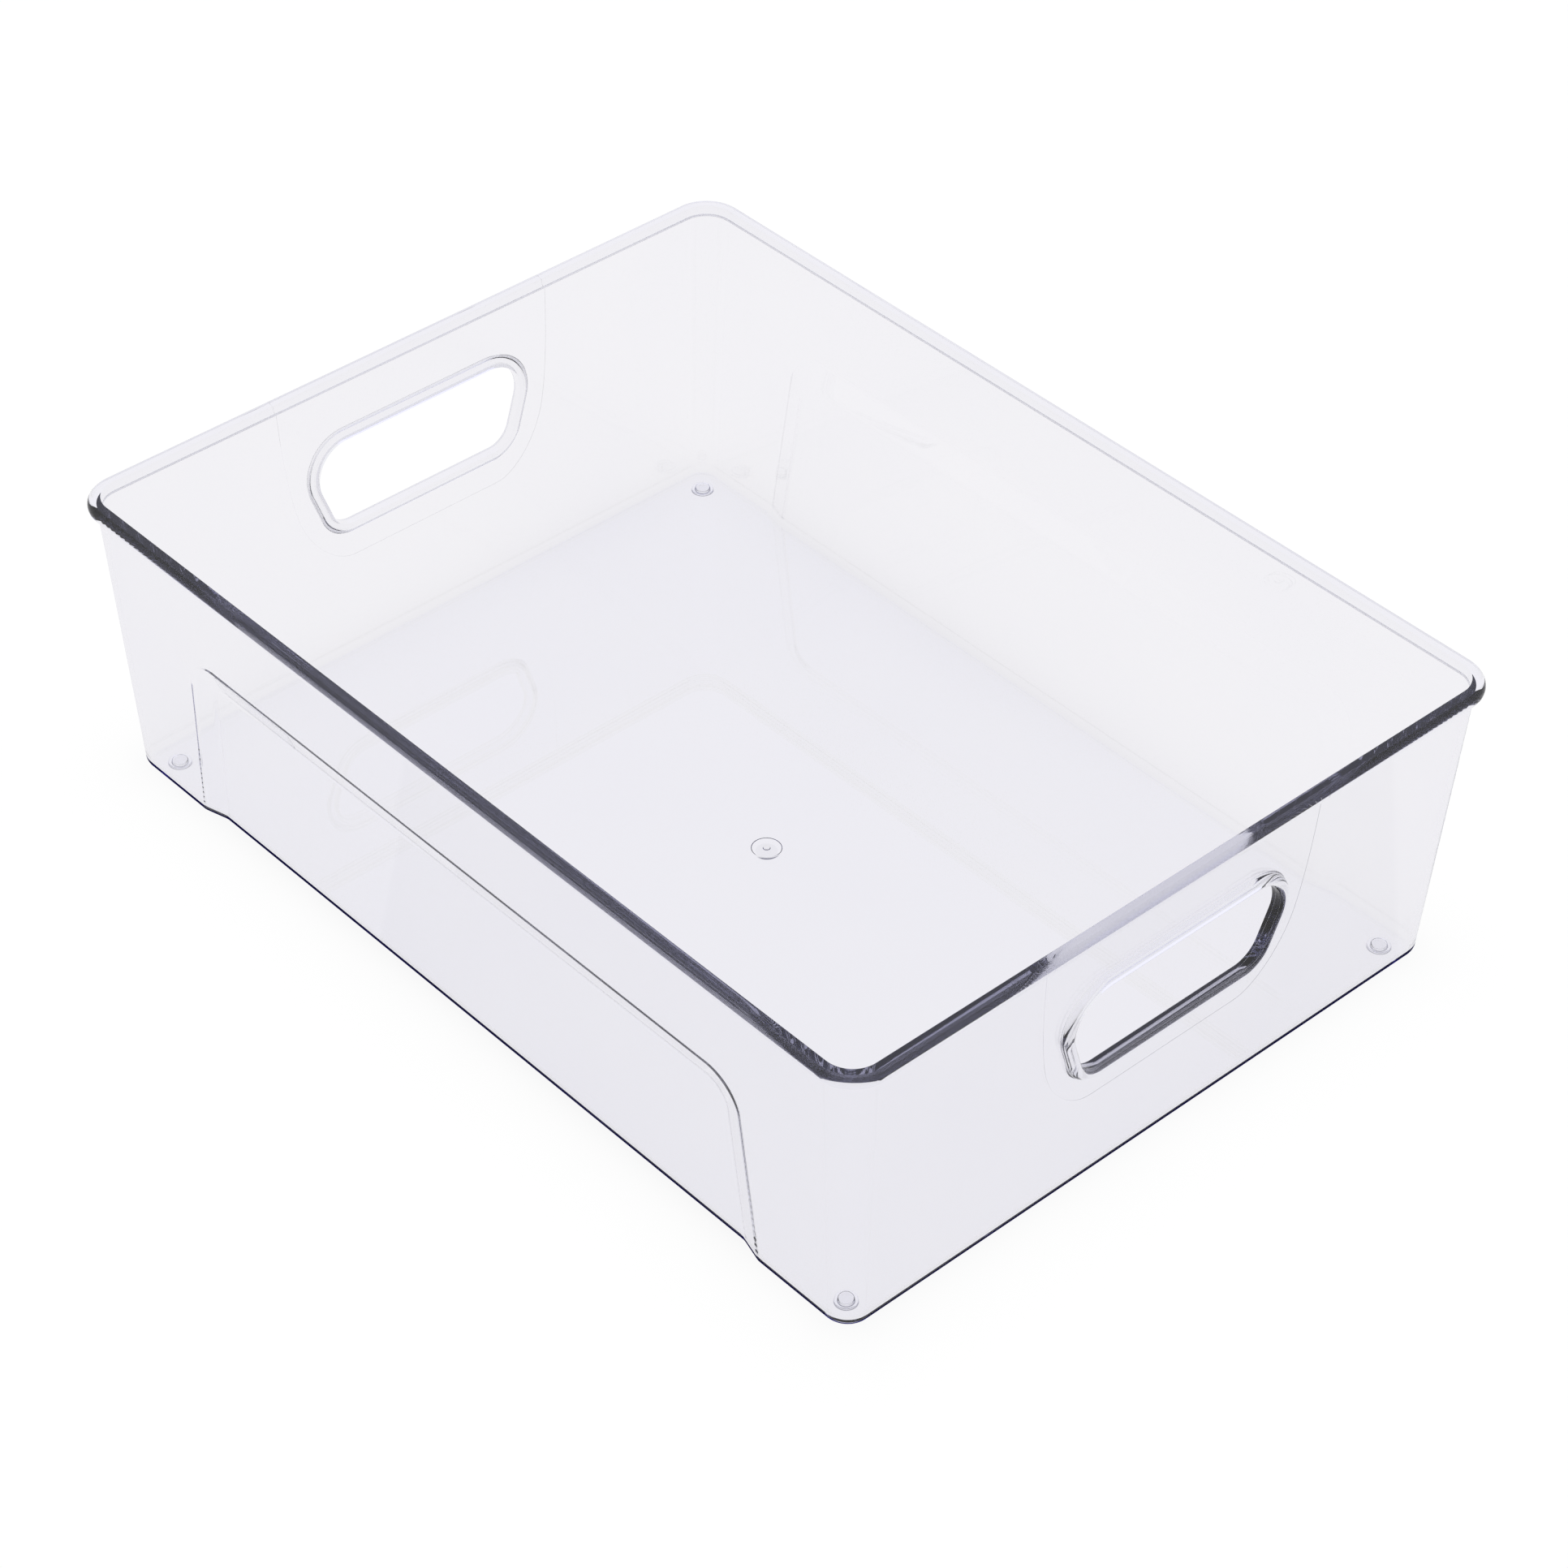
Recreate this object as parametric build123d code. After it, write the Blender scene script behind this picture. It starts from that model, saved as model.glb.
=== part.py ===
from build123d import *
import math
import os

# Clear fridge bin: an open, thin-walled moulded tray on four small foot pads.
# The origin is on the table plane under the middle of the bin. X runs along the long
# side, from end wall to end wall, Y across the bin and Z up. Front is -Y and left is -X.
# Millimetres.

# ---------------------------------------------------------------- walls and floor
LENGTH = 370.0                          # over the rim, X
WIDTH = 276.6                           # over the rim, Y
HEIGHT = 112.4                          # table to top of rim
WALL = 2.0
FLOOR = 2.0
BASE_Z = 0.6                            # underside of the floor, held off the table by the pads

BASE_HALF_X, BASE_HALF_Y = 176.8, 128.5     # outer faces of the walls at the underside
TOP_HALF_X, TOP_HALF_Y = 182.4, 135.7       # outer faces of the walls at the top of the rim
BASE_CORNER_R, TOP_CORNER_R = 8.6, 11.7     # outer vertical corners at the same two heights
BASE_EDGE_R = 3.4                       # outer bottom edge
FLOOR_FILLET_R = 2.4                    # inside, floor to walls
CAVITY_OVERCUT = 3.0                    # how far the cavity cutter rises above the rim

# outward lean of the walls, per unit of height
WALL_RISE = HEIGHT - BASE_Z
LEAN_X = (TOP_HALF_X - BASE_HALF_X) / WALL_RISE
LEAN_Y = (TOP_HALF_Y - BASE_HALF_Y) / WALL_RISE
CORNER_GROWTH = (TOP_CORNER_R - BASE_CORNER_R) / WALL_RISE

# ---------------------------------------------------------------- rim bead
RIM_H = 5.0
RIM_CORNER_R = 14.3                     # in plan
RIM_TOP_ROUND = 2.3
RIM_LOW_ROUND = 2.3
RIM_INNER_ROUND = 0.3

# ---------------------------------------------------------------- finger slots, end walls
# A rounded trapezoid, wider at the top. Heights run up the wall from Z = 0.
SLOT_LOW, SLOT_HIGH = 52.4, 86.0
SLOT_LOW_HALF, SLOT_HIGH_HALF = 37.5, 49.2      # half widths before the corners are rounded
SLOT_LOW_R, SLOT_HIGH_R = 9.1, 12.7
SLOT_INNER_ROUND = 0.4                  # slot edge on the inside of the wall
SLOT_CUT_IN, SLOT_CUT_LENGTH = 8.0, 20.0        # cutter's start inside the outer face, length
BEAD_W = 4.6                            # bead around the slot
BEAD_OUT = 2.7                          # how far it stands off the outer face
BEAD_ROUND = 1.9

# ---------------------------------------------------------------- stepped-in panels, long walls
# The step slopes from the "edge" outline on the wall face to the "flat" outline at full
# depth. Base half widths are at Z = 0, heights run up the wall from there.
PANEL_EDGE_H, PANEL_FLAT_H = 74.0, 65.0
PANEL_EDGE_HALF_TOP, PANEL_EDGE_HALF_BASE = 132.1, 138.3
PANEL_FLAT_HALF_TOP, PANEL_FLAT_HALF_BASE = 124.0, 129.4
PANEL_EDGE_R, PANEL_FLAT_R = 14.0, 9.0
PANEL_DEPTH = 2.6
PANEL_LOW = -6.0                        # below the floor, so the panel is open at the bottom
PANEL_OVERCUT = 0.8                     # how far the step's slope carries on past the wall face

# ---------------------------------------------------------------- foot pads and gate mark
FOOT_X, FOOT_Y = 165.3, 117.6
FOOT_HEAD_R = 4.0
FOOT_EDGE_R = 0.25
FOOT_SPIGOT_R = 2.6
FOOT_SPIGOT_H = 0.8                     # height of the spigot in its blind socket
FOOT_OVERLAP = 0.1                      # spigot into head

GATE_R = 5.2
GATE_DEPTH = 0.4
GATE_NUB_R = 1.1
GATE_NUB_H = 0.25
GATE_NUB_OVERLAP = 0.3                  # nub into floor

POCKET_OVERCUT = 1.0                    # how far pocket cutters start below the floor

FEET = {
    "foot_front_left": (-FOOT_X, -FOOT_Y),
    "foot_front_right": (FOOT_X, -FOOT_Y),
    "foot_back_left": (-FOOT_X, FOOT_Y),
    "foot_back_right": (FOOT_X, FOOT_Y),
}


# ---------------------------------------------------------------- helpers
def half_x(z):
    """Outer face of an end wall at height z."""
    return BASE_HALF_X + LEAN_X * (z - BASE_Z)


def half_y(z):
    """Outer face of a long wall at height z."""
    return BASE_HALF_Y + LEAN_Y * (z - BASE_Z)


def end_plane(side, depth=0.0):
    """Plane parallel to an end wall's outer face, depth inside it, its normal pointing out.

    Local y runs up the wall from Z = 0.
    """
    x = side * (half_x(0) - depth * math.hypot(1, LEAN_X))
    up = Vector(side * LEAN_X, 0, 1).normalized()
    along = Vector(0, side, 0)
    return Plane(origin=(x, 0, 0), x_dir=along, z_dir=along.cross(up))


def long_plane(side, depth):
    """Plane parallel to a long wall's outer face, depth inside it, its normal towards -Y.

    Local y runs up the wall from Z = 0.
    """
    y = side * (half_y(0) - depth * math.hypot(1, LEAN_Y))
    up = Vector(0, side * LEAN_Y, 1).normalized()
    along = Vector(1, 0, 0)
    return Plane(origin=(0, y, 0), x_dir=along, z_dir=along.cross(up))


def trapezoid(low, high, low_half, high_half):
    return make_face(Polyline([(-low_half, low), (-high_half, high),
                               (high_half, high), (low_half, low)], close=True))


def level_edges(part, z, tolerance=0.05):
    """Edges lying wholly at height z."""
    def is_level(edge):
        box = edge.bounding_box()
        return abs(box.min.Z - z) < tolerance and abs(box.max.Z - z) < tolerance
    return part.edges().filter_by(is_level)


def disc(x, y, z, radius, height):
    """Upright cylinder standing on height z."""
    return extrude(Plane.XY.offset(z) * Pos(x, y) * Circle(radius), height)


def pocket(x, y, radius, depth):
    """Cutter for a round pocket in the underside of the floor."""
    return disc(x, y, BASE_Z - POCKET_OVERCUT, radius, POCKET_OVERCUT + depth)


# ---------------------------------------------------------------- walls, floor and panels
def tub(z_low, z_high, inset):
    """Drafted block between two heights, set in horizontally from the outer wall faces."""
    def section(z):
        corner = BASE_CORNER_R + CORNER_GROWTH * (z - BASE_Z) - inset
        return Plane.XY.offset(z) * RectangleRounded(
            2 * (half_x(z) - inset), 2 * (half_y(z) - inset), corner)
    return loft([section(z_low), section(z_high)], ruled=True)


def panel_outline(plane, half_top, half_base, top, radius):
    """Panel outline on a wall plane, its two top corners rounded."""
    half_low = half_base - (half_base - half_top) / top * PANEL_LOW
    face = trapezoid(PANEL_LOW, top, half_low, half_top)
    return plane * fillet(face.vertices().sort_by(Axis.Y)[-2:], radius)


def panel_cutter(side, shift):
    """The space outside a stepped-in panel, its surface moved inward by shift."""
    ratio = PANEL_OVERCUT / PANEL_DEPTH

    def past_face(edge, flat):
        """Carry the step's slope on from the wall face by the overcut."""
        return edge + ratio * (edge - flat)

    edge_outline = panel_outline(long_plane(side, shift - PANEL_OVERCUT),
                                 past_face(PANEL_EDGE_HALF_TOP, PANEL_FLAT_HALF_TOP),
                                 past_face(PANEL_EDGE_HALF_BASE, PANEL_FLAT_HALF_BASE),
                                 past_face(PANEL_EDGE_H, PANEL_FLAT_H),
                                 past_face(PANEL_EDGE_R, PANEL_FLAT_R))
    flat_outline = panel_outline(long_plane(side, shift + PANEL_DEPTH),
                                 PANEL_FLAT_HALF_TOP, PANEL_FLAT_HALF_BASE,
                                 PANEL_FLAT_H, PANEL_FLAT_R)
    return loft([edge_outline, flat_outline], ruled=True)


def panelled_tub(z_low, z_high, inset, low_edge_r):
    """Tub with both long-wall panels stepped in and its bottom edge rounded."""
    block = tub(z_low, z_high, inset)
    for side in (-1, 1):
        block = block - panel_cutter(side, inset)
    return fillet(level_edges(block, z_low), low_edge_r)


def rim_block():
    """Solid slab with the rim's outer profile; the cavity opens it later."""
    z_low = HEIGHT - RIM_H
    rim = extrude(Plane.XY.offset(z_low) * RectangleRounded(LENGTH, WIDTH, RIM_CORNER_R), RIM_H)
    rim = fillet(level_edges(rim, HEIGHT), RIM_TOP_ROUND)
    return fillet(level_edges(rim, z_low), RIM_LOW_ROUND)


# ---------------------------------------------------------------- finger slots
def slot_face(grow=0.0):
    """Slot outline, moved outward by grow with its sides kept parallel."""
    slope = (SLOT_HIGH_HALF - SLOT_LOW_HALF) / (SLOT_HIGH - SLOT_LOW)
    widen = grow * math.hypot(1, slope)
    face = trapezoid(SLOT_LOW - grow, SLOT_HIGH + grow,
                     SLOT_LOW_HALF - slope * grow + widen,
                     SLOT_HIGH_HALF + slope * grow + widen)
    face = fillet(face.vertices().sort_by(Axis.Y)[-2:], SLOT_HIGH_R + grow)
    return fillet(face.vertices().sort_by(Axis.Y)[:2], SLOT_LOW_R + grow)


def slot_bead(side):
    """Raised pad around a slot, before the slot is cut through it."""
    start = WALL / 2
    bead = extrude(end_plane(side, start) * slot_face(BEAD_W), start + BEAD_OUT)
    outer_face = bead.faces().sort_by(Axis.X)[-1 if side > 0 else 0]
    return fillet(outer_face.edges(), BEAD_ROUND)


def slot_edges(part, side, offset):
    """Edges around a slot that lie offset outside the end wall's outer face."""
    def is_slot_edge(edge):
        centre = edge.center()
        return (SLOT_LOW - 1 < centre.Z < SLOT_HIGH + 1
                and abs(centre.Y) < SLOT_HIGH_HALF
                and centre.X * side > 0
                and abs(centre.X * side - half_x(centre.Z) - offset) < 0.25)
    return part.edges().filter_by(is_slot_edge)


# ---------------------------------------------------------------- pieces
def bin_body():
    outer = panelled_tub(BASE_Z, HEIGHT, 0.0, BASE_EDGE_R)
    rim = rim_block()
    cavity = panelled_tub(BASE_Z + FLOOR, HEIGHT + CAVITY_OVERCUT, WALL, FLOOR_FILLET_R)

    body = outer + rim
    for side in (-1, 1):
        body = body + slot_bead(side)
    body = body - cavity

    # top edges are picked by centre: no further out than just past the cavity's walls
    limit_x = half_x(HEIGHT) - WALL + 0.2
    limit_y = half_y(HEIGHT) - WALL + 0.2
    mouth_edges = level_edges(body, HEIGHT, 0.02).filter_by(
        lambda edge: abs(edge.center().X) < limit_x and abs(edge.center().Y) < limit_y)
    body = fillet(mouth_edges, RIM_INNER_ROUND)

    for side in (-1, 1):
        body = body - extrude(end_plane(side, SLOT_CUT_IN) * slot_face(), SLOT_CUT_LENGTH)
    for side in (-1, 1):
        body = fillet(slot_edges(body, side, BEAD_OUT), BEAD_ROUND)
        body = fillet(slot_edges(body, side, -WALL), SLOT_INNER_ROUND)

    # gate mark: a shallow round pocket under the floor with a nub in it
    body = body - pocket(0, 0, GATE_R, GATE_DEPTH)
    body = body + disc(0, 0, BASE_Z + GATE_DEPTH - GATE_NUB_H,
                       GATE_NUB_R, GATE_NUB_H + GATE_NUB_OVERLAP)

    # blind sockets for the foot pads
    for x, y in FEET.values():
        body = body - pocket(x, y, FOOT_SPIGOT_R, FOOT_SPIGOT_H)
    return body


def foot_pad(x, y):
    """Round head on the table with a spigot up into the floor."""
    head = disc(x, y, 0, FOOT_HEAD_R, BASE_Z)
    head = fillet(head.edges().sort_by(Axis.Z)[0], FOOT_EDGE_R)
    spigot = disc(x, y, BASE_Z - FOOT_OVERLAP, FOOT_SPIGOT_R, FOOT_SPIGOT_H + FOOT_OVERLAP)
    return head + spigot


def write(shape, name):
    solid = shape.solids()[0]
    solid.label = name
    export_step(solid, os.path.join("parts", name + ".step"))


os.makedirs("parts", exist_ok=True)
write(bin_body(), "bin_body")
for name, (x, y) in FEET.items():
    write(foot_pad(x, y), name)
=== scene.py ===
"""Clear moulded storage bin: an open, drafted tray with a rounded rim, a stepped-in panel on
each long wall, a beaded finger slot in each end wall and four clear foot pads.

The bin is centred on x = y = 0 with its length along x. Front is -y, left is -x, and the pads
stand on z = 0. The body is drawn as one quarter (x > 0, y > 0) and mirrored.
Shapes are in millimetres until make_object; materials, floor and camera are in metres.
"""
import bpy
import math
from itertools import product
from mathutils import Matrix, Vector
from mathutils.geometry import tessellate_polygon


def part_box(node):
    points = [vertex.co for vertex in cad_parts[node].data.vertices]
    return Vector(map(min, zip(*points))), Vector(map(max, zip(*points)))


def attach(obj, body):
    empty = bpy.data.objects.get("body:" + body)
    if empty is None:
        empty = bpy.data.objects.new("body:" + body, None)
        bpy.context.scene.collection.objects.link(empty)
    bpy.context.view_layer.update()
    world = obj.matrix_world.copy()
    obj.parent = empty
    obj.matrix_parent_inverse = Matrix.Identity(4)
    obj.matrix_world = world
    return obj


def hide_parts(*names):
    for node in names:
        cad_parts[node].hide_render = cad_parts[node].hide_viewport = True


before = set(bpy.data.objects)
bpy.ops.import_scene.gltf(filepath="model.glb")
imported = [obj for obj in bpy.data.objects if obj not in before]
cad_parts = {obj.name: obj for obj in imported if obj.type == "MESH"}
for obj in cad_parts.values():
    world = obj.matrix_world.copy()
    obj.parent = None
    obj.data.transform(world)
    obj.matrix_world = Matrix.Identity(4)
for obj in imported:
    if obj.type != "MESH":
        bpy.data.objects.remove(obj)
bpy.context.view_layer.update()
scene = bpy.context.scene
MM = 1000.0                            # millimetres in a metre
QUARTER_TURN = math.pi / 2

# ------------------------------------------------------------------ driving sizes
body_low, body_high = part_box("bin_body")
RIM_HALF_X = body_high.x * MM
RIM_HALF_Y = body_high.y * MM
RIM_TOP = body_high.z * MM
BASE_Z = body_low.z * MM               # underside of the floor
pad_low, pad_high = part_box("foot_front_left")
FOOT_X = -(pad_low.x + pad_high.x) * MM / 2
FOOT_Y = -(pad_low.y + pad_high.y) * MM / 2

WALL = 2.0
FLOOR = 2.0
CORNER_STEPS = 26

# rim bead
RIM_W = 4.6                            # from the outside to the wall's inner face
RIM_H = 5.0
RIM_ROUND = 2.0                        # width of the half-elliptic outer side
RIM_CORNER_R = 14.3
RIM_INNER_R = 0.3

# outside of the walls at the underside and at the top of the rim
BASE_HALF_X, BASE_HALF_Y, BASE_CORNER_R = 176.8, 128.5, 8.6
TOP_HALF_X = RIM_HALF_X - RIM_W + WALL
TOP_HALF_Y = RIM_HALF_Y - RIM_W + WALL
TOP_CORNER_R = RIM_CORNER_R - RIM_W + WALL

EDGE_R = 3.4                           # bottom edge, outside
FILLET_R = 2.4                         # bottom edge, inside
EDGE_STEPS = 12

OUT_LOW_Z, OUT_TOP_Z = BASE_Z + EDGE_R, RIM_TOP - RIM_H
IN_LOW_Z, IN_TOP_Z = BASE_Z + FLOOR + FILLET_R, RIM_TOP - RIM_INNER_R


def drafted(bottom, top, z):
    share = (z - BASE_Z) / (RIM_TOP - BASE_Z)
    return bottom + (top - bottom) * share


def half_x(z):
    return drafted(BASE_HALF_X, TOP_HALF_X, z)


def half_y(z):
    return drafted(BASE_HALF_Y, TOP_HALF_Y, z)


def corner_r(z):
    return drafted(BASE_CORNER_R, TOP_CORNER_R, z)


# ------------------------------------------------------------------ mesh builder
quarter_faces = []                     # (points, is it part of a flat region)


def without_repeats(loop, gap=1e-5):
    """Closed loop without points that coincide with their neighbour."""
    kept = []
    for point in loop:
        if not kept or (Vector(point) - Vector(kept[-1])).length > gap:
            kept.append(point)
    if (Vector(kept[0]) - Vector(kept[-1])).length <= gap:
        kept.pop()
    return kept


def add_face(points, flat=False, flip=False):
    points = list(points)
    if flip:
        points.reverse()
    quarter_faces.append((points, flat))


def add_strip(first, second, flip=False):
    """Quads between two polylines of the same length."""
    for i in range(len(first) - 1):
        quad = without_repeats([first[i], first[i + 1], second[i + 1], second[i]])
        if len(quad) > 2:
            add_face(quad, flip=flip)


def add_strips(rows, flip=False):
    for first, second in zip(rows[:-1], rows[1:]):
        add_strip(first, second, flip)


def add_region(loops, normal):
    """Flat region bounded by loops[0], with the rest as holes, facing along normal."""
    loops = [without_repeats(loop) for loop in loops]
    points = [point for loop in loops for point in loop]
    for triangle in tessellate_polygon([[Vector(p) for p in loop] for loop in loops]):
        corners = [points[i] for i in triangle]
        start = Vector(corners[0])
        cross = (Vector(corners[1]) - start).cross(Vector(corners[2]) - start)
        if cross.length < 1e-9:
            continue
        add_face(corners, flat=True, flip=cross.dot(Vector(normal)) < 0)


def mirrored(quarter, cell_size=0.01, tolerance=0.0012):
    """All four quarters, with points closer than the tolerance merged:
    (vertices, faces, flat flags)."""
    cells, verts, faces, flags, known = {}, [], [], [], {}

    def vertex_index(point):
        cell = tuple(math.floor(v / cell_size) for v in point)
        for step in product((-1, 0, 1), repeat=3):
            neighbour = tuple(c + s for c, s in zip(cell, step))
            for index in cells.get(neighbour, ()):
                if all(abs(a - b) < tolerance for a, b in zip(verts[index], point)):
                    return index
        cells.setdefault(cell, []).append(len(verts))
        verts.append(point)
        return len(verts) - 1

    for sign_x, sign_y in ((1, 1), (-1, 1), (-1, -1), (1, -1)):
        for points, flat in quarter:
            ids = []
            for x, y, z in points:
                point = (sign_x * x, sign_y * y, z)
                if point not in known:
                    known[point] = vertex_index(point)
                if not ids or ids[-1] != known[point]:
                    ids.append(known[point])
            if len(ids) > 2 and ids[0] == ids[-1]:
                ids.pop()
            if len(ids) < 3 or len(set(ids)) != len(ids):
                continue
            if sign_x * sign_y < 0:
                ids.reverse()
            faces.append(tuple(ids))
            flags.append(flat)
    return verts, faces, flags


def make_object(name, verts, faces, flags, smooth_deg=35.0):
    """Mesh object in metres. Flat regions keep their own normal, and a rounding takes it over
    where the two meet; other faces are smoothed up to smooth_deg."""
    mesh = bpy.data.meshes.new(name)
    mesh.from_pydata([(x / MM, y / MM, z / MM) for x, y, z in verts], [], faces)
    mesh.validate(verbose=False)
    mesh.update()
    obj = bpy.data.objects.new(name, mesh)
    scene.collection.objects.link(obj)

    flag_of = {frozenset(ids): flag for ids, flag in zip(faces, flags)}
    polygons = mesh.polygons
    face_normals = [p.normal.copy() for p in polygons]
    flat = [flag_of.get(frozenset(p.vertices), False) for p in polygons]
    faces_around = [[] for _ in mesh.vertices]
    for polygon in polygons:
        for vertex in polygon.vertices:
            faces_around[vertex].append(polygon.index)

    min_cos = math.cos(math.radians(smooth_deg))
    normals = [None] * len(mesh.loops)
    for polygon in polygons:
        polygon.use_smooth = True
        own = face_normals[polygon.index]
        for loop in polygon.loop_indices:
            if flat[polygon.index]:
                normals[loop] = own
                continue
            flat_normal, flat_cos = None, None
            total = Vector((0, 0, 0))
            for other in faces_around[mesh.loops[loop].vertex_index]:
                cosine = own.dot(face_normals[other])
                if cosine < min_cos:
                    continue
                if flat[other] and (flat_normal is None or cosine > flat_cos):
                    flat_normal, flat_cos = face_normals[other], cosine
                total += face_normals[other] * polygons[other].area
            if flat_normal is not None:
                normals[loop] = flat_normal
            else:
                normals[loop] = total.normalized() if total.length > 0 else own
    mesh.normals_split_custom_set(normals)
    return obj


# ------------------------------------------------------------------ outlines
def corner_arc(center_x, center_y, radius, z):
    """Quarter arc from the long wall (y side) round to the end wall (x side)."""
    points = []
    for i in range(CORNER_STEPS + 1):
        angle = QUARTER_TURN * (1 - i / CORNER_STEPS)
        points.append((center_x + radius * math.cos(angle),
                       center_y + radius * math.sin(angle), z))
    return points


def wall_corner(z, inset, offset=0.0):
    radius = corner_r(z)
    return corner_arc(half_x(z) - radius, half_y(z) - radius, radius - inset - offset, z)


def circle(center_x, center_y, radius, z, count):
    return [(center_x + radius * math.cos(2 * math.pi * i / count),
             center_y + radius * math.sin(2 * math.pi * i / count), z) for i in range(count)]


# ------------------------------------------------------------------ long walls and corners
# The panel's outer edge and the edge of its flat: half length at z = 0 and at the panel's
# top, height of the top, radius of the upper corner.
PANEL_EDGE = dict(base_x=138.3, top_x=132.1, top_z=74.0, radius=14.0)
PANEL_FLAT = dict(base_x=129.4, top_x=124.0, top_z=65.0, radius=9.0)
PANEL_DEPTH = 2.53
PANEL_RUN = PANEL_EDGE["base_x"] - PANEL_FLAT["base_x"]
# sideways shift of the sloping step per unit of inward offset
OFFSET_SHIFT = math.tan(math.atan(PANEL_DEPTH / PANEL_RUN) / 2)
INNER_SHIFT = OFFSET_SHIFT * WALL / PANEL_RUN
# half widths of the step's roundings, as shares of its run
ROUND_TOP, ROUND_SIDE, ROUND_FLAT = 0.045, 0.074, 0.12
# places of the mesh rows across the step: 0 is the outer edge, 1 the flat
STEP_ROWS = ((-0.12, -0.09, -0.06, -0.03, 0.0, 0.03, 0.06, 0.09, 0.12, 0.3, 0.5, 0.7)
             + tuple(1 + ROUND_FLAT * k / 4 for k in range(-4, 5)))


def step_depth(share, edge_round=ROUND_SIDE):
    """Depth of the panel's step: 0 to 1, with both of its corners rounded."""
    def soft(value, width):
        if value <= -width:
            return 0.0
        if value >= width:
            return value
        return (value + width) ** 2 / (4 * width)
    return soft(share, edge_round) - soft(share - 1, ROUND_FLAT)


def panel_path(panel, steps=20):
    """Panel outline for x > 0 as (x, z): up the side, round the corner, along the top."""
    base_x, top_z, radius = panel["base_x"], panel["top_z"], panel["radius"]
    slope = (base_x - panel["top_x"]) / top_z
    lean = math.atan(slope)
    center_z = top_z - radius
    center_x = base_x - slope * center_z - radius / math.cos(lean)
    points = [(base_x, 0.0)]
    for i in range(steps + 1):
        angle = lean + (QUARTER_TURN - lean) * i / steps
        points.append((center_x + radius * math.cos(angle), center_z + radius * math.sin(angle)))
    points.append((0.0, top_z))
    return points


EDGE_PATH, FLAT_PATH = panel_path(PANEL_EDGE), panel_path(PANEL_FLAT)


def step_side_x(share, z):
    def side_x(panel):
        return panel["base_x"] - (panel["base_x"] - panel["top_x"]) / panel["top_z"] * z
    edge = side_x(PANEL_EDGE)
    return edge + (side_x(PANEL_FLAT) - edge) * share


def step_path(share, start_z):
    """Outline at one place across the step as (x, z), starting at start_z."""
    path = [(edge[0] + (flat[0] - edge[0]) * share, edge[1] + (flat[1] - edge[1]) * share)
            for edge, flat in zip(EDGE_PATH, FLAT_PATH)]
    return [(step_side_x(share, start_z), start_z)] + path[1:]


def base_ring(z, inset, offset):
    """Quarter outline at height z: wall faces moved in by inset, then by a further offset."""
    ring = [(0.0, half_y(z) - PANEL_DEPTH - inset - offset, z)]
    for share in reversed(STEP_ROWS):
        ring.append((step_side_x(share - INNER_SHIFT * inset / WALL, z) + offset * OFFSET_SHIFT,
                     half_y(z) - PANEL_DEPTH * step_depth(share) - inset - offset, z))
    ring += wall_corner(z, inset, offset)
    ring.append((half_x(z) - inset - offset, 0.0, z))
    return ring


def add_long_wall(inset, low_z, top_z, side):
    """Long wall with its panel, and the corner: outer face (side 1) or inner face (side -1)."""
    rows = []
    for share in STEP_ROWS:
        path = step_path(share - INNER_SHIFT * inset / WALL, low_z)
        arc_steps = len(path) - 3
        # the outer rounding tightens from the panel's side to its top
        widths = [ROUND_SIDE]
        widths += [ROUND_SIDE + (ROUND_TOP - ROUND_SIDE) * min(1.0, 1.6 * i / arc_steps)
                   for i in range(arc_steps + 1)]
        widths.append(ROUND_TOP)
        rows.append([(x, half_y(z) - PANEL_DEPTH * step_depth(share, width) - inset, z)
                     for (x, z), width in zip(path, widths)])
    add_strips(rows, flip=side > 0)

    around_panel = [(half_x(low_z) - corner_r(low_z), half_y(low_z) - inset, low_z),
                    (half_x(top_z) - corner_r(top_z), half_y(top_z) - inset, top_z),
                    (0.0, half_y(top_z) - inset, top_z)]
    add_region([around_panel + rows[0][::-1]], (0, side, 0))
    panel = rows[-1]
    add_region([[(0.0, panel[0][1], low_z)] + panel], (0, side, 0))
    add_strip(wall_corner(low_z, inset), wall_corner(top_z, inset), flip=side > 0)


def bottom_rings(start_z, radius, inset):
    """Rings of a quarter-round bottom edge, from the wall to the floor."""
    rings = []
    for i in range(EDGE_STEPS + 1):
        angle = QUARTER_TURN * i / EDGE_STEPS
        rings.append(base_ring(start_z - radius * math.sin(angle), inset,
                               radius * (1 - math.cos(angle))))
    return rings


add_long_wall(0.0, OUT_LOW_Z, OUT_TOP_Z, 1)
add_long_wall(WALL, IN_LOW_Z, IN_TOP_Z, -1)

edge_rings = bottom_rings(OUT_LOW_Z, EDGE_R, 0.0)
add_strips(edge_rings)
underside_ring = edge_rings[-1]
fillet_rings = bottom_rings(IN_LOW_Z, FILLET_R, WALL)
add_strips(fillet_rings, flip=True)
floor_ring = fillet_rings[-1]
add_region([[(0.0, 0.0, floor_ring[0][2])] + floor_ring[::-1]], (0, 0, 1))

# ------------------------------------------------------------------ end walls, finger slot
SLOT_LOW_Z, SLOT_TOP_Z = 52.4, 86.0
SLOT_LOW_HALF, SLOT_TOP_HALF = 37.5, 49.2     # half widths, before the corners are rounded
SLOT_LOW_R, SLOT_TOP_R = 9.1, 12.7
BEAD_W = 4.6                           # raised bead round the slot: width on the wall
BEAD_H = 2.7                           # and height above it
BEAD_OUTER_R, BEAD_INNER_R = 2.2, 1.6  # width of the outer flank, rounding into the opening
BEAD_FOOT_W, BEAD_FOOT_H = 0.55, 0.45  # soft foot where the bead leaves the wall
SLOT_BACK_R = 0.35                     # rounding at the wall's inner face

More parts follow.
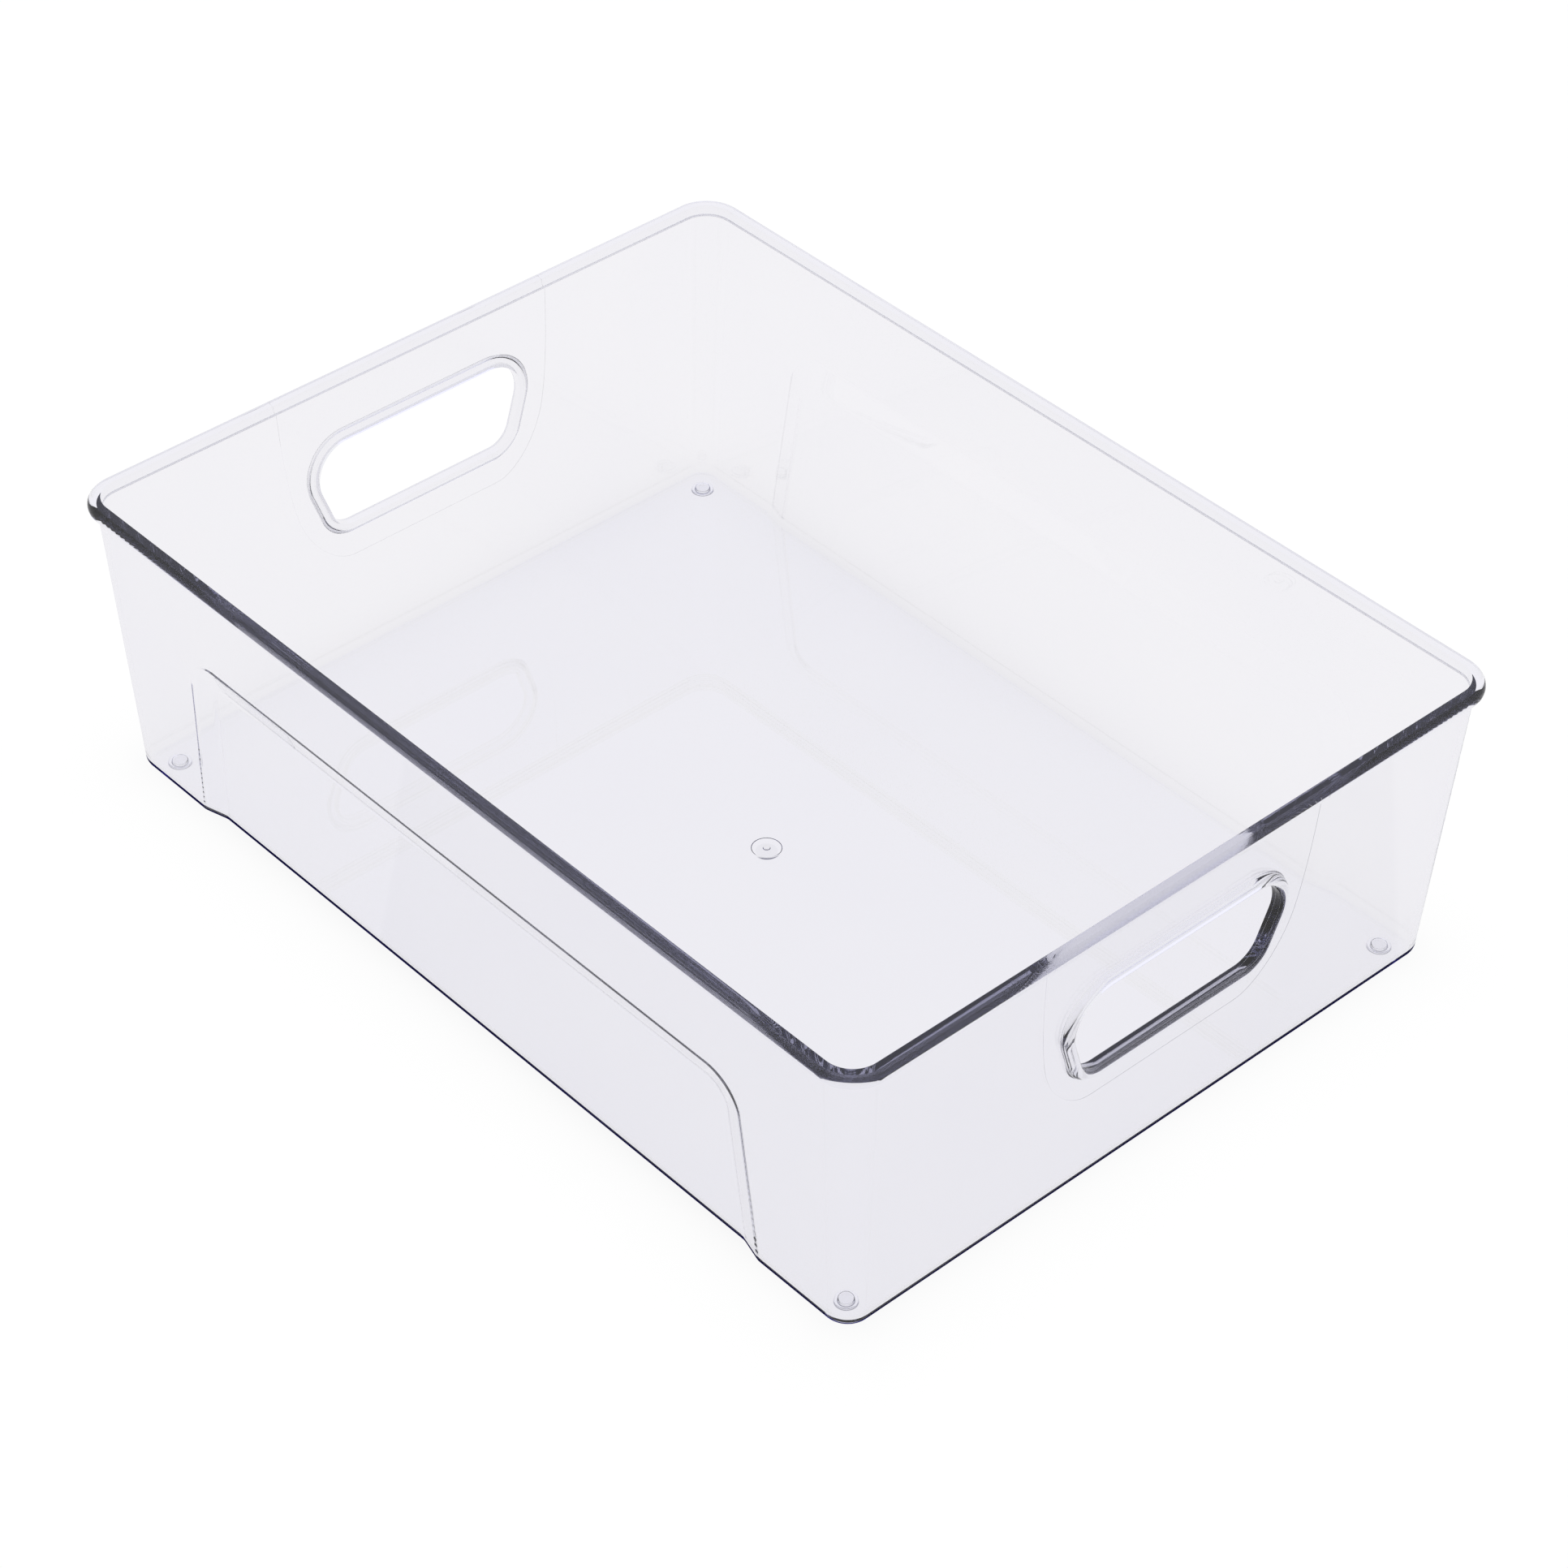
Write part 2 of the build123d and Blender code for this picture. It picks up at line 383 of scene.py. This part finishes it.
# half width and depth of the groove that marks the mould insert
LINE_W, LINE_D = 0.11, 0.05
# the line as (y, z): a straight start, then two Bezier curves up to the rim
LINE_START = [(0.0, 38.85), (31.3, 38.85)]
LINE_CURVES = (
    ((31.3, 38.85), (40.5, 38.85), (50.5, 50.5), (53.6, 62.9)),
    ((53.6, 62.9), (56.2, 73.5), (57.7, 90.0), (58.1, OUT_TOP_Z)),
)


def slot_half():
    """Slot outline for y > 0 as (y, z, normal y, normal z), from bottom to top middle."""
    slope = (SLOT_TOP_HALF - SLOT_LOW_HALF) / (SLOT_TOP_Z - SLOT_LOW_Z)
    lean = math.atan(slope)
    points = [(0.0, SLOT_LOW_Z, 0.0, -1.0)]
    corners = (
        (SLOT_LOW_Z + SLOT_LOW_R, SLOT_LOW_R, -QUARTER_TURN, QUARTER_TURN - lean, 20),
        (SLOT_TOP_Z - SLOT_TOP_R, SLOT_TOP_R, -lean, QUARTER_TURN + lean, 26),
    )
    for center_z, radius, start, sweep, steps in corners:
        side_y = SLOT_LOW_HALF + slope * (center_z - SLOT_LOW_Z)
        center_y = side_y - radius / math.cos(lean)
        for i in range(steps + 1):
            angle = start + sweep * i / steps
            cosine, sine = math.cos(angle), math.sin(angle)
            points.append((center_y + radius * cosine, center_z + radius * sine, cosine, sine))
    points.append((0.0, SLOT_TOP_Z, 0.0, 1.0))
    return points


def bead_profile():
    """Section of the slot's edge as (distance from the opening, height above the wall)."""
    profile = [(BEAD_W, 0.0)]
    for i in range(1, 7):              # soft foot
        share = i / 6
        profile.append((BEAD_W - BEAD_FOOT_W * share, BEAD_FOOT_H * share * share))
    for i in range(1, 13):             # rounded outer flank
        angle = QUARTER_TURN * i / 12
        profile.append((BEAD_W - BEAD_FOOT_W - BEAD_OUTER_R * (1 - math.cos(angle)),
                        BEAD_FOOT_H + (BEAD_H - BEAD_FOOT_H) * math.sin(angle)))
    for i in range(13):                # rounding into the opening
        angle = QUARTER_TURN * i / 12
        profile.append((BEAD_INNER_R * (1 - math.sin(angle)),
                        BEAD_H - BEAD_INNER_R * (1 - math.cos(angle))))
    profile.append((0.0, -WALL + SLOT_BACK_R))
    for i in range(1, 9):              # rounding at the wall's inner face
        angle = QUARTER_TURN * i / 8
        profile.append((SLOT_BACK_R * (1 - math.cos(angle)),
                        -WALL + SLOT_BACK_R * (1 - math.sin(angle))))
    return profile


def line_path(steps=16):
    points = list(LINE_START)
    for curve in LINE_CURVES:
        for i in range(1, steps + 1):
            t = i / steps
            weights = ((1 - t) ** 3, 3 * (1 - t) ** 2 * t, 3 * (1 - t) * t * t, t ** 3)
            points.append(tuple(sum(w * p[axis] for w, p in zip(weights, curve))
                                for axis in (0, 1)))
    return points


def line_offset(path, offset, depth):
    """The line moved away from the slot by offset, and into the wall by depth."""
    points = []
    last = len(path) - 1
    for i, (y, z) in enumerate(path):
        before, after = path[max(i - 1, 0)], path[min(i + 1, last)]
        along = Vector((after[0] - before[0], after[1] - before[1])).normalized()
        normal = (along.y, -along.x)
        if i == 0:
            normal = (0.0, -1.0)
        if i == last:
            normal = (1.0, 0.0)
        moved_z = z + normal[1] * offset
        points.append((half_x(moved_z) - depth, y + normal[0] * offset, moved_z))
    return points


SLOT_POINTS = slot_half()
slot_loops = [[(half_x(z + normal_z * grow) + height, y + normal_y * grow, z + normal_z * grow)
               for y, z, normal_y, normal_z in SLOT_POINTS]
              for grow, height in bead_profile()]
add_strips(slot_loops)

LINE = line_path()
line_outer = line_offset(LINE, LINE_W, 0.0)
line_middle = line_offset(LINE, 0.0, LINE_D)
line_inner = line_offset(LINE, -LINE_W, 0.0)
add_strips([line_outer, line_middle, line_inner])


def end_wall_points(low_z, top_z, inset):
    """Corner points of the flat end wall for y > 0, from its bottom middle."""
    low_x, top_x = half_x(low_z) - inset, half_x(top_z) - inset
    return [(low_x, 0.0, low_z), (low_x, half_y(low_z) - corner_r(low_z), low_z),
            (top_x, half_y(top_z) - corner_r(top_z), top_z), (top_x, 0.0, top_z)]


outer_end = end_wall_points(OUT_LOW_Z, OUT_TOP_Z, 0.0)
inner_end = end_wall_points(IN_LOW_Z, IN_TOP_Z, WALL)
add_region([outer_end[:3] + line_outer[::-1]], (1, 0, 0))
add_region([line_inner + outer_end[3:] + slot_loops[0][::-1]], (1, 0, 0))
add_region([inner_end + slot_loops[-1][::-1]], (-1, 0, 0))

# ------------------------------------------------------------------ rim bead
# y of the insert line's two edges and its middle where it crosses the rim
LINE_Y = LINE[-1][0]
LINE_STATIONS = (LINE_Y + LINE_W, LINE_Y, LINE_Y - LINE_W)
ARC_END = CORNER_STEPS + 1             # index of the corner's last point in a rim row
GROOVE = ARC_END + 2                   # index of the line's middle in a rim row


def rim_profile():
    """Rim section as (inset from the outside, z), from the underside over the top. The wall's
    inner face closes it."""
    profile = []
    for i in range(33):
        angle = math.radians(-90 + 90 * i / 16)
        profile.append((RIM_ROUND - RIM_ROUND * math.cos(angle),
                        RIM_TOP - RIM_H / 2 + RIM_H / 2 * math.sin(angle)))
    for i in range(8):
        angle = math.radians(90 + 90 * i / 8)
        profile.append((RIM_W - RIM_INNER_R - RIM_INNER_R * math.cos(angle),
                        RIM_TOP - RIM_INNER_R + RIM_INNER_R * math.sin(angle)))
    return profile


def rim_row(inset, z):
    row = [(0.0, RIM_HALF_Y - inset, z)]
    row += corner_arc(RIM_HALF_X - RIM_CORNER_R, RIM_HALF_Y - RIM_CORNER_R,
                      RIM_CORNER_R - inset, z)
    row += [(RIM_HALF_X - inset, y, z) for y in LINE_STATIONS]
    row.append((RIM_HALF_X - inset, 0.0, z))
    return row


def sink_groove(row, inset):
    """Carries the insert line over the rim as a hair-thin groove."""
    x, y, z = row[GROOVE]
    normal_x, normal_z = 0.0, 1.0
    if inset <= RIM_ROUND:
        normal_x = (x - (RIM_HALF_X - RIM_ROUND)) / RIM_ROUND ** 2
        normal_z = (z - (RIM_TOP - RIM_H / 2)) / (RIM_H / 2) ** 2
    length = math.hypot(normal_x, normal_z)
    row[GROOVE] = (x - LINE_D * normal_x / length, y, z - LINE_D * normal_z / length)


def add_rim():
    profile = rim_profile()
    rows = [rim_row(inset, z) for inset, z in profile]
    for row, (inset, _) in zip(rows[1:], profile[1:]):
        sink_groove(row, inset)
    add_strips(rows, flip=True)

    # the last row sits on the drafted inner face, which has no points for the line
    z = IN_TOP_Z
    inner = [(0.0, half_y(z) - WALL, z)] + wall_corner(z, WALL) + [(half_x(z) - WALL, 0.0, z)]
    add_strip(rows[-1][:ARC_END + 1], inner[:-1], flip=True)
    end_row = rows[-1][ARC_END:]
    add_face([end_row[0], end_row[1], inner[ARC_END]], flip=True)
    add_face([end_row[1], inner[-1], inner[ARC_END]], flip=True)
    for i in range(1, len(end_row) - 1):
        add_face([end_row[i], end_row[i + 1], inner[-1]], flip=True)

    # flat underside, from the wall's outer face to the bead's lowest line
    z = OUT_TOP_Z
    wall_top = [(0.0, half_y(z), z)] + wall_corner(z, 0.0)
    wall_top += [line_outer[-1], line_middle[-1], line_inner[-1], (half_x(z), 0.0, z)]
    lowest = rows[0]
    for i in range(len(wall_top) - 1):
        add_region([[wall_top[i], wall_top[i + 1], lowest[i + 1], lowest[i]]], (0, 0, -1))


add_rim()

# ------------------------------------------------------------------ underside
# Gate mark under the middle of the floor: (radius, height above the underside).
GATE_PROFILE = ((5.35, 0.0), (5.2, 0.05), (5.1, 0.18), (5.0, 0.34), (4.8, 0.42),
                (1.5, 0.42), (1.3, 0.38), (1.15, 0.24), (1.0, 0.14), (0.5, 0.10))
GATE_CENTER_H = 0.09
GATE_STEPS = 16                        # in the quarter
SOCKET_R, SOCKET_H = 2.65, 0.85        # socket for each foot pad
SOCKET_MOUTH, SOCKET_TOP = 0.12, 0.15  # bevels at its mouth and at its top
SOCKET_STEPS = 40


def add_underside():
    gate = [circle(0, 0, radius, BASE_Z + height, 4 * GATE_STEPS)[:GATE_STEPS + 1]
            for radius, height in GATE_PROFILE]
    add_strips(gate, flip=True)
    for i in range(GATE_STEPS):
        add_face([(0, 0, BASE_Z + GATE_CENTER_H), gate[-1][i + 1], gate[-1][i]])

    socket = [circle(FOOT_X, FOOT_Y, radius, z, SOCKET_STEPS) for radius, z in (
        (SOCKET_R + SOCKET_MOUTH, BASE_Z),
        (SOCKET_R, BASE_Z + SOCKET_MOUTH),
        (SOCKET_R, BASE_Z + SOCKET_H - SOCKET_TOP),
        (SOCKET_R - SOCKET_TOP, BASE_Z + SOCKET_H))]
    add_strips([ring + ring[:1] for ring in socket], flip=True)
    add_region([socket[-1]], (0, 0, -1))
    add_region([underside_ring + gate[0], socket[0]], (0, 0, -1))


add_underside()
body = make_object("bin_body_shell", *mirrored(quarter_faces))

# ------------------------------------------------------------------ foot pads
PAD_FLAT_R = 3.55                      # edge of the flat underside
PAD_R = PAD_FLAT_R + 0.42
PAD_ROUND = 0.25                       # height of the lower and radius of the upper rounding
PAD_ROUND_Z = 0.32                     # where the upper rounding starts
# (radius, z) from the disc's top face up the stem in the socket
PAD_STEM = [(2.8, 0.57), (2.6, 0.60), (2.58, 0.72), (2.58, 1.25), (2.52, 1.34), (2.40, 1.38)]


def pad_profile():
    profile = [(2.9, 0.0), (PAD_FLAT_R, 0.0)]
    angles = [QUARTER_TURN * i / 6 for i in range(7)]
    for angle in angles[1:]:
        profile.append((PAD_FLAT_R + (PAD_R - PAD_FLAT_R) * math.sin(angle),
                        PAD_ROUND * (1 - math.cos(angle))))
    for angle in angles:
        profile.append((PAD_R - PAD_ROUND + PAD_ROUND * math.cos(angle),
                        PAD_ROUND_Z + PAD_ROUND * math.sin(angle)))
    return profile + PAD_STEM


def lathe(name, center_x, center_y, profile, count=64):
    """Solid of revolution about a vertical axis, closed by flat caps."""
    verts, faces = [], []
    size = len(profile)
    for i in range(count):
        angle = 2 * math.pi * i / count
        for radius, z in profile:
            verts.append((center_x + radius * math.cos(angle),
                          center_y + radius * math.sin(angle), z))
    for i in range(count):
        this, following = i * size, (i + 1) % count * size
        for k in range(size - 1):
            faces.append((this + k, following + k, following + k + 1, this + k + 1))
    faces.append(tuple(i * size for i in reversed(range(count))))
    faces.append(tuple(i * size + size - 1 for i in range(count)))
    flags = [False] * (len(faces) - 2) + [True, True]
    return make_object(name, verts, faces, flags, smooth_deg=40.0)


PAD_PROFILE = pad_profile()
pads = [(lathe(node + "_pad", sign_x * FOOT_X, sign_y * FOOT_Y, PAD_PROFILE), node)
        for node, sign_x, sign_y in (("foot_front_left", -1, -1), ("foot_front_right", 1, -1),
                                     ("foot_back_left", -1, 1), ("foot_back_right", 1, 1))]


# ------------------------------------------------------------------ shader helper
class Shader:
    """Emptied node tree of a material or world. Inputs are numbers or output sockets."""

    def __init__(self, owner):
        owner.use_nodes = True
        self.tree = owner.node_tree
        self.tree.nodes.clear()

    def add(self, kind, inputs=None, **settings):
        node = self.tree.nodes.new("ShaderNode" + kind)
        for name, value in settings.items():
            setattr(node, name, value)
        for socket, value in (inputs or {}).items():
            if isinstance(value, bpy.types.NodeSocket):
                self.tree.links.new(value, node.inputs[socket])
            else:
                node.inputs[socket].default_value = value
        return node

    def math(self, operation, *values):
        return self.add("Math", dict(enumerate(values)), operation=operation).outputs[0]

    def vector(self, operation, *values, output="Vector"):
        node = self.add("VectorMath", dict(enumerate(values)), operation=operation)
        return node.outputs[output]

    def separate(self, vector):
        return self.add("SeparateXYZ", {0: vector}).outputs

    def smoothstep(self, value, low, high):
        """0 at low, 1 at high."""
        return self.add("MapRange", {"Value": value, "From Min": low, "From Max": high},
                        interpolation_type="SMOOTHSTEP").outputs[0]

    def mix(self, factor, color_1, color_2, **settings):
        return self.add("MixRGB", {"Fac": factor, "Color1": color_1, "Color2": color_2},
                        **settings).outputs[0]

    def noise(self, vector, scale, detail):
        return self.add("TexNoise", {"Vector": vector, "Scale": scale,
                                     "Detail": detail}).outputs["Fac"]

    def object_coordinates(self):
        return self.add("TexCoord").outputs["Object"]

    def camera_ray(self):
        return self.add("LightPath").outputs["Is Camera Ray"]


WHITE = (1.0, 1.0, 1.0, 1)


# ------------------------------------------------------------------ clear plastic
ABSORPTION_DENSITY = 30.0
TINT_DARK = (0.996, 0.996, 0.998)      # cloudy variation of the tint, as factors on it
TINT_LIGHT = (1.003, 1.003, 1.002)
# painted shade for the bottom edge: dark navy
PAINTED_EDGE_SHADE = (0.02, 0.016, 0.20, 1)


def cloudy_tint(shader, coordinates, tint):
    cloud = shader.noise(coordinates, scale=14.0, detail=3.0)
    ramp = shader.add("ValToRGB", {"Fac": cloud})
    dark, light = ramp.color_ramp.elements
    dark.position = 0.3
    dark.color = tuple(t * f for t, f in zip(tint, TINT_DARK)) + (1,)
    light.position = 0.7
    light.color = tuple(min(1, t * f) for t, f in zip(tint, TINT_LIGHT)) + (1,)
    return ramp.outputs["Color"]


def paint_bottom_edge_shade(shader, coordinates, color, below_z):
    """Painted shade: where the camera sees the rounded bottom edge at a slant, its colour is
    painted dark navy, in place of the dark line that light trapped in the edge gives.
    """
    near_base = shader.math("LESS_THAN", shader.separate(coordinates)["Z"], below_z)
    geometry = shader.add("NewGeometry").outputs
    normal_z = shader.separate(geometry["True Normal"])["Z"]
    faces_down = shader.math("LESS_THAN", normal_z, -0.04)
    facing = shader.vector("DOT_PRODUCT", geometry["Incoming"], geometry["True Normal"],
                           output="Value")
    edge_shade_mask = shader.math("MULTIPLY", shader.smoothstep(facing, low=0.47, high=0.37), faces_down)
    edge_shade_mask = shader.math("MULTIPLY", edge_shade_mask, shader.camera_ray())
    edge_shade_mask = shader.math("MULTIPLY", edge_shade_mask, near_base)
    return shader.mix(edge_shade_mask, color, PAINTED_EDGE_SHADE)


def moulded_waves(shader, coordinates):
    """Bump of long soft waves and fine flow streaks."""
    broad = shader.noise(coordinates, scale=26.0, detail=2.0)
    stretched = shader.add("Mapping", {"Vector": coordinates, "Scale": (9.0, 9.0, 60.0)})
    fine = shader.noise(stretched.outputs["Vector"], scale=6.0, detail=4.0)
    fine_share = 0.12
    height = shader.math("MULTIPLY_ADD", fine, fine_share, broad)
    return shader.add("Bump", {"Height": height, "Strength": 0.03,
                               "Distance": 0.0002}).outputs["Normal"]


def clear_plastic(name, ior, absorb, tint, dark_below=None):
    """Sharp refraction with faint lavender absorption (per metre, for red, green and blue).
    The rounded edge below z = dark_below, if given, gets a painted shade, a dark navy line."""
    material = bpy.data.materials.new(name)
    shader = Shader(material)
    coordinates = shader.object_coordinates()
    color = cloudy_tint(shader, coordinates, tint)
    if dark_below is not None:
        color = paint_bottom_edge_shade(shader, coordinates, color, dark_below)
    glass = shader.add("BsdfGlass", {"IOR": ior, "Roughness": 0.0, "Color": color,
                                     "Normal": moulded_waves(shader, coordinates)})
    volume = shader.add("VolumeAbsorption", {
        "Density": ABSORPTION_DENSITY,
        "Color": tuple(1 - a / ABSORPTION_DENSITY for a in absorb) + (1,)})
    shader.add("OutputMaterial", {"Surface": glass.outputs[0], "Volume": volume.outputs[0]})
    return material


def finish_piece(piece, material, node):
    piece.data.materials.append(material)
    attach(piece, "root")
    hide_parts(node)


body_plastic = clear_plastic("clear_moulded_plastic", ior=1.54, absorb=(11.0, 11.0, 8.4),
                             tint=(0.999, 0.999, 1.0), dark_below=0.0045)
pad_plastic = clear_plastic("clear_pad_plastic", ior=1.50, absorb=(14.0, 14.0, 10.0),
                            tint=(0.992, 0.992, 0.996))
finish_piece(body, body_plastic, "bin_body")
for pad, pad_node in pads:
    finish_piece(pad, pad_plastic, pad_node)

# ------------------------------------------------------------------ studio floor
# Rounded footprint that casts the contact shadow: half sizes of its core, and its radius.
SHADOW_CORE = (0.1655, 0.1175, 0.0)
SHADOW_R = 0.0075
SHADOW_COLOR = (0.0, 0.0, 0.02, 1)
PAINTED_DIM_TABLE = (0.919, 0.911, 0.933, 1)   # painted shade: the table dimmer and lavender as the plastic refracts and mirrors it
SHADE_COLOR = (0.03, 0.03, 0.09, 1)
TO_CAMERA = (0.73, -0.68)              # (x, y) towards the camera
GATE_ARC_TO = (0.88, -0.47)            # (x, y) towards the middle of the gate mark's arc


def contact_shadow(shader, absolute):
    """Table colour, darkening towards the bin's footprint."""
    beyond = shader.vector("MAXIMUM", shader.vector("SUBTRACT", absolute, SHADOW_CORE),
                           (0.0, 0.0, 0.0))
    distance = shader.math("SUBTRACT", shader.vector("LENGTH", beyond, output="Value"), SHADOW_R)
    distance = shader.math("MAXIMUM", distance, 0.0)

    def falloff(reach, amount):
        fade = shader.math("EXPONENT", shader.math("MULTIPLY", distance, -1.0 / reach))
        return shader.math("MULTIPLY", fade, amount)

    total = shader.math("ADD", falloff(reach=0.006, amount=0.040),
                        falloff(reach=0.022, amount=0.036))
    return shader.mix(total, WHITE, SHADOW_COLOR)


def plane_length(shader, x, y):
    squares = shader.math("ADD", shader.math("MULTIPLY", x, x), shader.math("MULTIPLY", y, y))
    return shader.math("SQRT", squares)


def along(shader, x, y, direction):
    return shader.math("ADD", shader.math("MULTIPLY", x, direction[0]),
                       shader.math("MULTIPLY", y, direction[1]))


def direction_share(shader, x, y, distance, direction):
    """Cosine of the angle between (x, y) and the direction."""
    return shader.math("DIVIDE", along(shader, x, y, direction),
                       shader.math("MAXIMUM", distance, 0.0001))


def band(shader, distance, at, width, amount):
    """amount * exp(-((distance - at) / width)^2)"""
    share = shader.math("DIVIDE", shader.math("SUBTRACT", distance, at), width)
    power = shader.math("MULTIPLY", shader.math("MULTIPLY", share, share), -1.0)
    return shader.math("MULTIPLY", shader.math("EXPONENT", power), amount)


def foot_shade(shader, position):
    """Two dark rings under each foot pad, on the camera's side, and a faint disc."""
    def from_foot(axis, foot):
        center = shader.math("MULTIPLY", shader.math("SIGN", position[axis]), foot / MM)
        return shader.math("SUBTRACT", position[axis], center)

    x, y = from_foot("X", FOOT_X), from_foot("Y", FOOT_Y)
    distance = plane_length(shader, x, y)
    arc = shader.smoothstep(direction_share(shader, x, y, distance, TO_CAMERA),
                            low=-0.55, high=0.35)
    disc_distance = plane_length(shader, shader.math("ADD", x, 0.0004),
                                 shader.math("SUBTRACT", y, 0.0004))
    disc = shader.smoothstep(disc_distance, low=0.0029, high=0.0023)
    rings = shader.math("MAXIMUM",
                        band(shader, distance, at=0.0039, width=0.00020, amount=0.8),
                        band(shader, distance, at=0.00275, width=0.00022, amount=0.95))
    disc_amount = 0.11
    return shader.math("MAXIMUM", shader.math("MULTIPLY", rings, arc),
                       shader.math("MULTIPLY", disc, disc_amount))


def outline_distance(shader, absolute):
    """Signed distance to the bin's base outline, stepped in along the panels."""
    x, y = absolute["X"], absolute["Y"]
    step = shader.add("MapRange", {
        "Value": x,
        "From Min": PANEL_FLAT["base_x"] / MM, "From Max": PANEL_EDGE["base_x"] / MM,
        "To Min": PANEL_DEPTH / MM, "To Max": 0.0}).outputs[0]
    core_x = shader.math("SUBTRACT", x, (BASE_HALF_X - BASE_CORNER_R) / MM)
    core_y = shader.math("SUBTRACT", shader.math("ADD", y, step),
                         (BASE_HALF_Y - BASE_CORNER_R) / MM)
    outside = plane_length(shader, shader.math("MAXIMUM", core_x, 0.0),
                           shader.math("MAXIMUM", core_y, 0.0))
    inside = shader.math("MINIMUM", shader.math("MAXIMUM", core_x, core_y), 0.0)
    return shader.math("SUBTRACT", shader.math("ADD", outside, inside), BASE_CORNER_R / MM)


def add_gate_shade(shader, dark, x, y):
    """Dark arc on the front right of the gate mark, and a faint shade inside it."""
    distance = plane_length(shader, x, y)
    side = shader.smoothstep(direction_share(shader, x, y, distance, GATE_ARC_TO),
                             low=0.45, high=0.9)
    arc = band(shader, distance, at=0.0045, width=0.00030, amount=0.95)
    dark = shader.math("MAXIMUM", dark, shader.math("MULTIPLY", arc, side))
    inside_radius, inside_amount = 0.0037, 0.06
    inside = shader.math("LESS_THAN", distance, inside_radius)
    return shader.math("MAXIMUM", dark, shader.math("MULTIPLY", inside, inside_amount))


def add_edge_shade(shader, dark, x, y, outline):
    """The table before the near walls is dimmer, and so is that under the floor's far edges."""
    near_from, outside_from, near_amount = 0.05, 0.001, 0.10
    near = shader.math("GREATER_THAN", along(shader, x, y, TO_CAMERA), near_from)
    near = shader.math("MULTIPLY", near, shader.math("GREATER_THAN", outline, outside_from))
    dark = shader.math("MAXIMUM", dark, shader.math("MULTIPLY", near, near_amount))
    far = shader.smoothstep(along(shader, x, y, TO_CAMERA), low=-0.02, high=-0.09)
    edge = shader.math("MAXIMUM",
                       band(shader, outline, at=-0.0045, width=0.0045, amount=0.030),
                       band(shader, outline, at=-0.0045, width=0.013, amount=0.022))
    return shader.math("MAXIMUM", dark, shader.math("MULTIPLY", edge, far))


def floor_material():
    """Glowing white table with a painted contact shadow, the only shade the camera sees on it.
    The plastic refracts and mirrors a painted dimmer, lavender table with painted shades of the
    pads, the gate mark and the edges."""
    material = bpy.data.materials.new("studio_floor")
    shader = Shader(material)
    coordinates = shader.object_coordinates()
    absolute = shader.vector("ABSOLUTE", coordinates)
    table = contact_shadow(shader, absolute)

    position = shader.separate(coordinates)
    x, y = position["X"], position["Y"]
    outline = outline_distance(shader, shader.separate(absolute))
    dark = foot_shade(shader, position)
    dark = add_gate_shade(shader, dark, x, y)
    dark = add_edge_shade(shader, dark, x, y, outline)
    # painted shade: the dimmed table and the painted shades, for rays that are not the camera's
    painted_dim_table = shader.mix(dark, PAINTED_DIM_TABLE, SHADE_COLOR)
    seen = shader.mix(shader.camera_ray(), painted_dim_table, WHITE)
    color = shader.mix(1.0, table, seen, blend_type="MULTIPLY")
    emission = shader.add("Emission", {"Color": color, "Strength": 1.01})
    shader.add("OutputMaterial", {"Surface": emission.outputs[0]})
    return material


FLOOR_Z = -0.0003                      # just below the pads
bpy.ops.mesh.primitive_plane_add(size=30.0, location=(0, 0, FLOOR_Z))
floor = bpy.context.object
floor.name = "studio_floor"
floor.data.materials.append(floor_material())

# ------------------------------------------------------------------ world light
# where the camera's view goes after mirroring in the table
MIRRORED_VIEW = (-0.5587, 0.5205, 0.6457)
SKY_PATCH = (0.92, 0.92, 0.95, 1)      # away from the mirrored view
SKY_BLUE = (1.0, 1.0, 1.22, 1)         # around it


def build_world():
    """White to the camera. To other rays a bluish sky, with a dimmer tone at one side."""
    world = bpy.data.worlds.new("studio_world")
    scene.world = world
    shader = Shader(world)
    direction = shader.add("TexCoord").outputs["Generated"]
    closeness = shader.vector("DOT_PRODUCT", direction, MIRRORED_VIEW, output="Value")
    cone = shader.smoothstep(closeness, low=0.86, high=0.975)
    sky = shader.mix(cone, SKY_PATCH, SKY_BLUE)
    color = shader.mix(shader.camera_ray(), sky, WHITE)
    background = shader.add("Background", {"Color": color, "Strength": 1.0})
    shader.add("OutputWorld", {"Surface": background.outputs[0]})


build_world()

# ------------------------------------------------------------------ camera
CAMERA_PLACE = (0.78751, -0.72643, 0.93563)
CAMERA_AXES = (
    (0.67274, 0.73974, 0.014295),      # right
    (-0.485098, 0.426408, 0.76345),    # up
    (0.55866, -0.520538, 0.645708),    # back, away from the bin
)

camera_data = bpy.data.cameras.new("camera")
camera = bpy.data.objects.new("camera", camera_data)
scene.collection.objects.link(camera)
camera_data.sensor_width = 36.0
camera_data.lens = 98.177
camera_data.clip_start = 0.01
camera_data.clip_end = 100.0
turn = Matrix(CAMERA_AXES).transposed()
camera.matrix_world = Matrix.Translation(CAMERA_PLACE) @ turn.to_4x4()
scene.camera = camera

# ------------------------------------------------------------------ render settings
scene.view_settings.view_transform = "Standard"
# light crosses many plastic faces before it leaves the bin
LIGHT_BOUNCES = 64
scene.cycles.max_bounces = LIGHT_BOUNCES
scene.cycles.transmission_bounces = LIGHT_BOUNCES
scene.cycles.glossy_bounces = LIGHT_BOUNCES
scene.cycles.transparent_max_bounces = LIGHT_BOUNCES
scene.cycles.diffuse_bounces = 2
